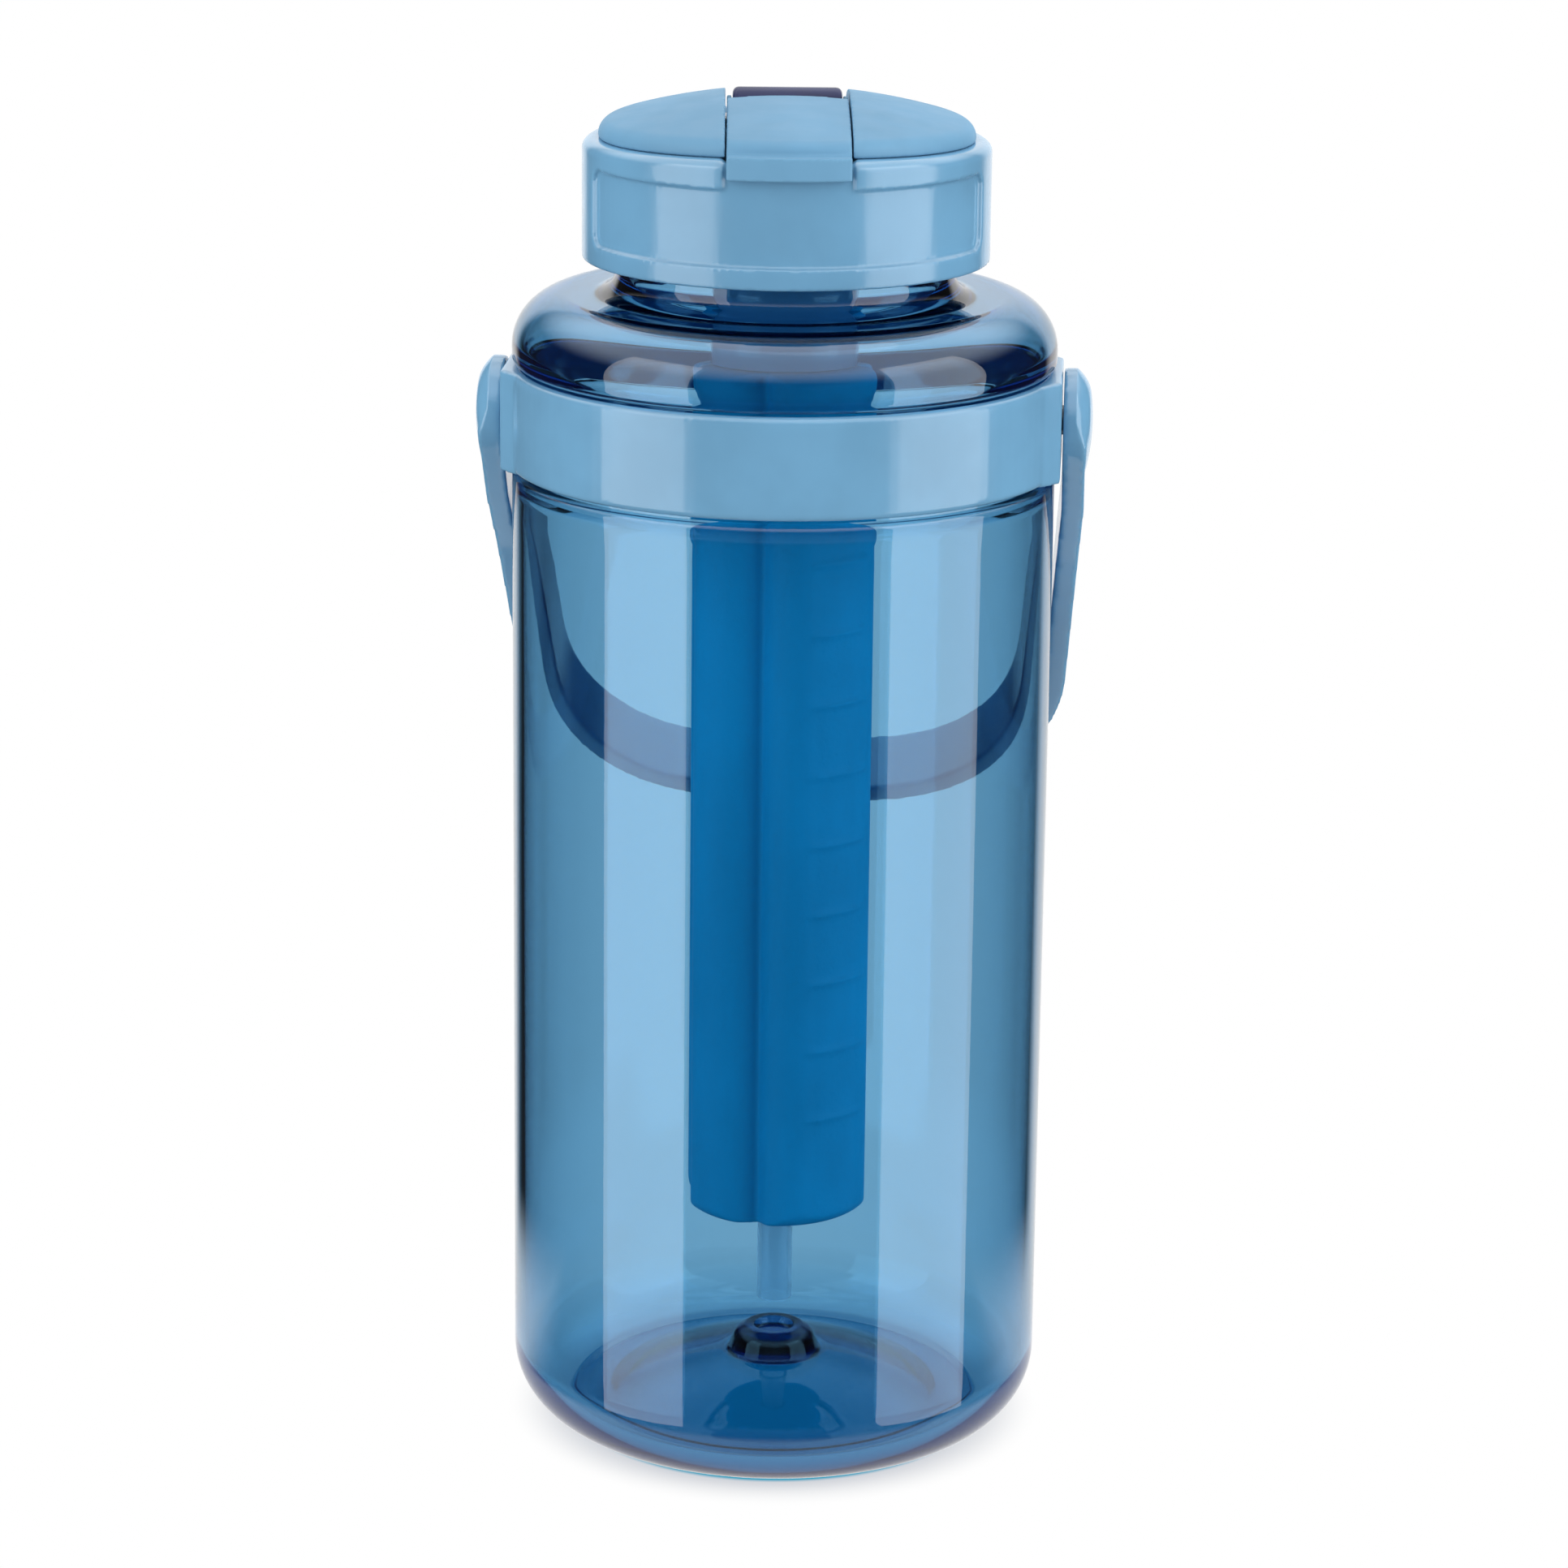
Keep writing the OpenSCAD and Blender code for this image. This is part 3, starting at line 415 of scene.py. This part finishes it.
def steel(name):
    """Steel wire with fine turning marks across its length."""
    t = Tree(bpy.data.materials.new(name))
    stain = t.ramp(noise(t, object_place(t), scale=500), *CLOUD)
    turned = noise(t, object_place(t, (1, 0.02, 0.02)), scale=9000)
    surface = t.node(
        "BsdfPrincipled",
        {
            "Base Color": t.mix(stain, *STEEL),
            "Metallic": 1.0,
            "Roughness": 0.28,
            "Normal": bump(t, turned, distance=0.01 * MM, strength=0.6),
        },
    )
    return t.finish(surface)


def frozen_gel(name):
    t = Tree(bpy.data.materials.new(name))
    frost = cells(t, object_place(t), scale=320)
    surface = t.node(
        "BsdfPrincipled",
        {
            "Base Color": t.mix(t.ramp(frost, *FROST), *GEL),
            "Roughness": t.ramp(frost, *FROST, 0.2, 0.5),
            "IOR": 1.34,
            "Normal": bump(t, frost, distance=0.2 * MM, strength=0.5),
        },
    )
    return t.finish(surface)


def straw_plastic(name):
    """Clear tube with fine lines along it from drawing."""
    t = Tree(bpy.data.materials.new(name))
    drawn = noise(t, object_place(t, (1, 1, 0.05)), scale=900)
    surface = t.node(
        "BsdfPrincipled",
        {
            "Base Color": STRAW_TINT,
            "Roughness": 0.22,
            "IOR": 1.46,
            "Transmission Weight": 0.8,
            "Normal": bump(t, drawn, distance=0.01 * MM, strength=0.5),
        },
    )
    return t.finish(see_through(t, surface))


def dress(node, material):
    made = nodes[node]
    if not made.material_slots:
        made.data.materials.append(material)
    for slot in made.material_slots:
        slot.material = material


# ---------------------------------------------------------------- half sections
FILLET_STEPS = 5
SAME_POINT = 1e-4
ON_AXIS = 1e-6
SHARP = math.radians(35)


def arc(centre_r, centre_z, radius, start, end, steps):
    """Points of an arc in the half section, angles in degrees from +r towards +z."""
    points = []
    for i in range(steps + 1):
        a = math.radians(start + (end - start) * i / steps)
        points.append((centre_r + radius * math.cos(a), centre_z + radius * math.sin(a)))
    return points


def line(start, end, steps):
    way = (end[0] - start[0], end[1] - start[1])
    shares = [i / steps for i in range(steps + 1)]
    return [(start[0] + way[0] * share, start[1] + way[1] * share) for share in shares]


def cap_circle(foot_r, foot_z, height):
    """Centre height, radius and foot angle of the circle of a domed cap."""
    radius = (foot_r**2 + height**2) / (2 * height)
    return foot_z + height - radius, radius, math.degrees(math.acos(foot_r / radius))


def fillet(before, corner, after, radius):
    """Points that round a corner of the half section."""
    c = Vector(corner)
    u = (Vector(before) - c).normalized()
    v = (Vector(after) - c).normalized()
    half = math.acos(max(-1, min(1, u.dot(v)))) / 2
    reach = radius / math.tan(half)
    centre = c + (u + v).normalized() * (radius / math.sin(half))
    start = c + u * reach - centre
    end = c + v * reach - centre
    sweep = math.atan2(start.cross(end), start.dot(end))
    turns = [sweep * i / FILLET_STEPS for i in range(FILLET_STEPS + 1)]
    return [tuple(centre + Matrix.Rotation(turn, 2) @ start) for turn in turns]


def path_with_fillets(corners):
    """A run of (r, z, radius) corners; the radius of the first and last is not used."""
    points = [corners[0][:2]]
    for before, here, after in zip(corners, corners[1:], corners[2:]):
        if here[2] > 0:
            points += fillet(before[:2], here[:2], after[:2], here[2])
        else:
            points.append(here[:2])
    points.append(corners[-1][:2])
    return points


def lathe(name, profile, segments, swell):
    """A closed solid of revolution from a profile in millimetres, from axis to axis."""
    clean = [profile[0]]
    for point in profile[1:]:
        if math.dist(point, clean[-1]) > SAME_POINT:
            clean.append(point)
    turns = [2 * math.pi * k / segments for k in range(segments)]
    shape = bmesh.new()
    rings = []
    for r, z in clean:
        if r < ON_AXIS:
            rings.append([shape.verts.new((0, 0, z * MM))])
            continue
        ring = []
        for turn in turns:
            out = (r + swell(r, z, turn)) * MM
            ring.append(shape.verts.new((out * math.cos(turn), out * math.sin(turn), z * MM)))
        rings.append(ring)
    for a, b in zip(rings, rings[1:]):
        for k in range(segments):
            n = (k + 1) % segments
            if len(a) == 1:
                shape.faces.new((a[0], b[n], b[k]))
            elif len(b) == 1:
                shape.faces.new((a[k], a[n], b[0]))
            else:
                shape.faces.new((a[k], a[n], b[n], b[k]))
    bmesh.ops.recalc_face_normals(shape, faces=shape.faces)
    for face in shape.faces:
        face.smooth = True
    mesh = bpy.data.meshes.new(name)
    shape.to_mesh(mesh)
    shape.free()
    mesh.set_sharp_from_angle(angle=SHARP)
    made = bpy.data.objects.new(name, mesh)
    scene.collection.objects.link(made)
    return made


# ---------------------------------------------------------------- bottle, in millimetres
WALL_R = 55
WALL_T = 2.2
INNER_R = WALL_R - WALL_T
FOOT_ROUND = 15
FOOT_R = WALL_R - FOOT_ROUND
FOOT_INNER_R = 34
UNDER_DOME_H = 9.3
# The ring that the bottle stands on, with its soft inner edge
FOOT_RING = [(33.7, 0.12), (34.2, 0), (37, 0)]

FLOOR_T = 3.6
CORNER_ROUND = FOOT_ROUND - WALL_T
CORNER_END = -78
# A low bead where the wall's corner meets the floor
FLOOR_BEAD = [(42.2, 3.95), (41.8, 4.3), (40.6, 4.35), (40.2, 4.1), (38.2, 4.0)]
DOME_FOOT_R = 36.8
DOME_H = 9.2
DOME_END = 97
DOME_SHOWN = (10.4, 34.6)
# Radius, height and rounding of the corners of the nub
NUB = [
    (9.7, 12.25, 1.2),
    (8.3, 16.2, 3.0),
    (6.0, 17.5, 1.2),
    (4.3, 17.4, 0.5),
    (3.4, 16.02, 0.6),
    (0, 16.02, 0),
]

WAIST_R = 53.2
WAIST_ROUND = WALL_R - WAIST_R
WAIST_INNER_R = WAIST_R - WALL_T
WALL_TOP = 203.2
WAIST_EDGE_END = 78
WAIST_LOW_CREASE = [(53.25, 203.25), (53.2, 203.7)]
WAIST_HIGH_CREASE = [(53.2, 224.3), (53.25, 224.66)]
BAND_LOW = 204
BAND_HIGH = 224
WAIST_FILLET = 3
WALL_FILLET = 4
WALL_STRAIGHT = (17, 190)

SHOULDER_FOOT = 224.7
SHOULDER_FOOT_ROUND = 1.7
SHOULDER_FOOT_R = WALL_R - SHOULDER_FOOT_ROUND
SHOULDER_EDGE_START = -75
SHOULDER_Z = 228.2
SHOULDER_ROUND = 10.8
SHOULDER_C = WALL_R - SHOULDER_ROUND
SHOULDER_TOP = SHOULDER_Z + SHOULDER_ROUND
SHOULDER_INNER = SHOULDER_ROUND - WALL_T
SHOULDER_INNER_END = 12
SHOULDER_INNER_CREASE = (52.7, 229.4)
SHOULDER_LOW = 227

NECK_R = 34
NECK_INNER_R = 31.6
NECK_ROOT = 5
NECK_CORNER = 3
NECK_EDGE = 0.6
NECK_TOP = 265.2
NECK_FOOT = SHOULDER_TOP + NECK_ROOT
NECK_LIP = NECK_TOP - NECK_EDGE

THREAD_LOW = 253
THREAD_PITCH = 5
THREAD_TURNS = 1.6
THREAD_HEIGHT = 1.6
THREAD_HALF = 1.3
THREAD_RUN_OUT = 0.06
THREAD_SLOPE = 1.8
BOTTLE_SIDES = 288


def thread(r, z, turn):
    """How far the neck's thread stands out at a point of the outer neck."""
    if abs(r - NECK_R) > NECK_EDGE / 2:
        return 0
    best = 0
    for lap in range(math.ceil(THREAD_TURNS)):
        along = turn / (2 * math.pi) + lap
        if along > THREAD_TURNS:
            continue
        ends = min(1, along / THREAD_RUN_OUT, (THREAD_TURNS - along) / THREAD_RUN_OUT)
        off = abs(z - THREAD_LOW - THREAD_PITCH * along) / THREAD_HALF
        if off < 1:
            best = max(best, ends * THREAD_HEIGHT * min(1, THREAD_SLOPE * (1 - off)))
    return best


def bottle_outside():
    """From the middle of the underside, round the foot, up the wall and over the neck."""
    under_z, under_r, under_foot = cap_circle(FOOT_INNER_R, 0, UNDER_DOME_H)
    edge_z = WALL_TOP - WAIST_ROUND
    foot_z = SHOULDER_FOOT + SHOULDER_FOOT_ROUND
    return (
        arc(0, under_z, under_r, 90, under_foot, steps=24)[:-1]
        + FOOT_RING
        + arc(FOOT_R, FOOT_ROUND, FOOT_ROUND, -90, 0, steps=18)
        + line((WALL_R, FOOT_ROUND), (WALL_R, edge_z), steps=30)
        + arc(WAIST_R, edge_z, WAIST_ROUND, 0, WAIST_EDGE_END, steps=6)
        + WAIST_LOW_CREASE
        + line((WAIST_R, BAND_LOW), (WAIST_R, BAND_HIGH), steps=4)
        + WAIST_HIGH_CREASE
        + arc(SHOULDER_FOOT_R, foot_z, SHOULDER_FOOT_ROUND, SHOULDER_EDGE_START, 0, steps=6)
        + line((WALL_R, SHOULDER_LOW), (WALL_R, SHOULDER_Z), steps=2)
        + arc(SHOULDER_C, SHOULDER_Z, SHOULDER_ROUND, 0, 90, steps=28)
        + arc(NECK_R + NECK_ROOT, NECK_FOOT, NECK_ROOT, -90, -180, steps=14)
        + line((NECK_R, NECK_FOOT + NECK_EDGE / 2), (NECK_R, NECK_LIP), steps=60)
        + arc(NECK_R - NECK_EDGE, NECK_LIP, NECK_EDGE, 0, 90, steps=4)
        + arc(NECK_INNER_R + NECK_EDGE, NECK_LIP, NECK_EDGE, 90, 180, steps=4)
    )


def bottle_inside():
    """From the neck's lip down the inner wall to the middle of the floor."""
    neck_c = SHOULDER_Z + SHOULDER_INNER + NECK_CORNER
    shoulder = arc(NECK_INNER_R + NECK_CORNER, neck_c, NECK_CORNER, 180, 270, steps=10)
    shoulder += arc(SHOULDER_C, SHOULDER_Z, SHOULDER_INNER, 90, SHOULDER_INNER_END, steps=24)
    low, high = WALL_STRAIGHT
    waist = path_with_fillets(
        [
            (*SHOULDER_INNER_CREASE, 0),
            (INNER_R, SHOULDER_Z, 0),
            (WAIST_INNER_R, SHOULDER_FOOT, WAIST_FILLET),
            (WAIST_INNER_R, WALL_TOP, WAIST_FILLET),
            (INNER_R, WALL_TOP - WALL_T - WAIST_ROUND, WALL_FILLET),
            (INNER_R, high, 0),
            (INNER_R, low, 0),
        ]
    )
    corner = arc(FOOT_R, FLOOR_T + CORNER_ROUND, CORNER_ROUND, 0, CORNER_END, steps=18)
    dome_z, dome_r, dome_foot = cap_circle(DOME_FOOT_R, FLOOR_T, DOME_H)
    dome = arc(0, dome_z, dome_r, dome_foot, DOME_END, steps=20)
    dome = [point for point in dome if DOME_SHOWN[0] < point[0] < DOME_SHOWN[1]]
    nub = path_with_fillets([(*dome[-1], 0)] + NUB)
    return shoulder + waist + corner + FLOOR_BEAD + dome + nub[1:]


# ---------------------------------------------------------------- rounded edges
MERGE = 0.01 * MM
SMOOTHING = 0.5

LID_TURN = math.atan2(-joints["flip_open"]["axis"][1], -joints["flip_open"]["axis"][0])
LID_HALF = 38 * MM
SAG_FROM = 266 * MM
SAG_OVER = 5 * MM
SAG_MIDDLE = 0.3 * MM
SAG_DROP = 1.2 * MM

PIVOT_Z = joints["handle_swing"]["pos_m"][2]
EYE_R = 10.5 * MM
EYE_MIDDLE_X = 58.8 * MM
EYE_OUTER_X = 61.1 * MM
EYE_CROWN = 1.3 * MM
EYE_FALL = 9.5 * MM
EYE_FALL_FROM = 0.55
EYE_END = 1.1
EYE_UPPER_FROM = PIVOT_Z - EYE_R / 3
EYE_UPPER_OVER = EYE_R / 2
PLUG_R = 0.6 * EYE_R
PLUG_SIDES = 48


def lid_sag(point):
    """The lid's top and rim drop a little towards both sides."""
    across = (point.x * math.cos(LID_TURN) + point.y * math.sin(LID_TURN)) / LID_HALF
    high = min(1, max(0, (point.z - SAG_FROM) / SAG_OVER))
    point.z += high * (SAG_MIDDLE - SAG_DROP * across * across)


def eye_dome(point):
    """The outer face of the handle's eye is crowned, and its upper edge is round."""
    share = math.hypot(point.y, point.z - PIVOT_Z) / EYE_R
    outward = (abs(point.x) - EYE_MIDDLE_X) / (EYE_OUTER_X - EYE_MIDDLE_X)
    if outward > 0 and share < EYE_END:
        upper = min(1, max(0, (point.z - EYE_UPPER_FROM) / EYE_UPPER_OVER))
        crown = EYE_CROWN * max(0, 1 - share * share)
        edge = EYE_FALL * upper * max(0, share - EYE_FALL_FROM) ** 2
        point.x += math.copysign(1, point.x) * min(1, outward) * (crown - edge)


def eye_plugs(shape):
    """Closes the outer half of the bore in each of the handle's eyes."""
    for side in (-1, 1):
        place = Matrix.Translation((side * (EYE_MIDDLE_X + EYE_OUTER_X) / 2, 0, PIVOT_Z))
        bmesh.ops.create_cone(
            shape,
            cap_ends=True,
            segments=PLUG_SIDES,
            radius1=PLUG_R,
            radius2=PLUG_R,
            depth=EYE_OUTER_X - EYE_MIDDLE_X,
            matrix=place @ Matrix.Rotation(math.pi / 2, 4, "Y"),
        )


def rounded_mesh(made, voxel, rounds):
    """The object's mesh, remeshed with voxels of a size in millimetres and smoothed."""
    remesh = made.modifiers.new("remesh", "REMESH")
    remesh.mode = "VOXEL"
    remesh.voxel_size = voxel * MM
    remesh.use_smooth_shade = True
    smooth = made.modifiers.new("smooth", "SMOOTH")
    smooth.iterations = rounds
    smooth.factor = SMOOTHING
    graph = bpy.context.evaluated_depsgraph_get()
    mesh = bpy.data.meshes.new_from_object(made.evaluated_get(graph))
    made.modifiers.clear()
    return mesh


def soften(node, body, voxel, rounds, bend=None, add=None, finish=None):
    """A copy of a CAD node with rounded edges, in the node's own place."""
    source = nodes[node]
    shape = bmesh.new()
    shape.from_mesh(source.data)
    shape.transform(source.matrix_world)
    if add:
        add(shape)
    bmesh.ops.remove_doubles(shape, verts=shape.verts, dist=MERGE)
    mesh = bpy.data.meshes.new(node + "_soft")
    shape.to_mesh(mesh)
    shape.free()
    made = bpy.data.objects.new(node + "_soft", mesh)
    scene.collection.objects.link(made)
    made.data = rounded_mesh(made, voxel, rounds)
    if bend:
        for vertex in made.data.vertices:
            bend(vertex.co)
    for face in made.data.polygons:
        face.use_smooth = True
    made.data.materials.clear()
    made.data.materials.append(finish or source.material_slots[0].material)
    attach(made, body)
    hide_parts(node)


# ---------------------------------------------------------------- build
make_camera()
make_world()
make_floor()
make_lamps()

BLUE = (0.152, 0.350, 0.540)
BODY_TINT = (0.086, 0.534, 0.744)
BODY_DENSITY = 450
CORE_BLUE = (0.0, 0.40, 0.68)
PALE_SEAL = (0.62, 0.70, 0.76)
BLACK_SEAL = (0.03, 0.03, 0.04)
FINISHES = {
    "bottle_clear": tinted_plastic("bottle_clear", BODY_TINT, BODY_DENSITY, 0.015, 0.04 * MM),
    "blue_satin": satin_plastic("blue_satin", BLUE),
    "spout_navy": navy_plastic("spout_navy"),
    "soft_seal": rubber("soft_seal", PALE_SEAL, roughness=0.5),
    "dark_seal": rubber("dark_seal", BLACK_SEAL, roughness=0.4),
    "pin_steel": steel("pin_steel"),
    "straw_clear": straw_plastic("straw_clear"),
    "core_blue": core_plastic("core_blue", CORE_BLUE),
    "gel": frozen_gel("gel"),
}
SLOTS = {part["node"]: part["material_slot"] for part in record["subparts"]}
for node, slot in SLOTS.items():
    dress(node, FINISHES[slot])

bottle = lathe("bottle_shell", bottle_outside() + bottle_inside(), BOTTLE_SIDES, thread)
bottle.data.materials.append(FINISHES["bottle_clear"])
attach(bottle, "bottle")
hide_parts("bottle_body")

soften("carry_band", "bottle", voxel=0.5, rounds=4)
soften("carry_handle", "handle", voxel=0.5, rounds=8, bend=eye_dome, add=eye_plugs)
soften("pivot_pin_left", "bottle", voxel=0.3, rounds=3)
soften("pivot_pin_right", "bottle", voxel=0.3, rounds=3)
soften("lid_collar", "lid", voxel=0.4, rounds=5, bend=lid_sag)
blue_matt = satin_plastic("blue_matt", BLUE, roughness=0.5, coat=0.0, specular=0.3)
soften("lid_top", "lid", voxel=0.35, rounds=6, bend=lid_sag, finish=blue_matt)
soften("flip_cover", "cover", voxel=0.3, rounds=4, bend=lid_sag, finish=blue_matt)
soften("spout", "nozzle", voxel=0.3, rounds=3)
soften("core_body", "core", voxel=0.5, rounds=8)
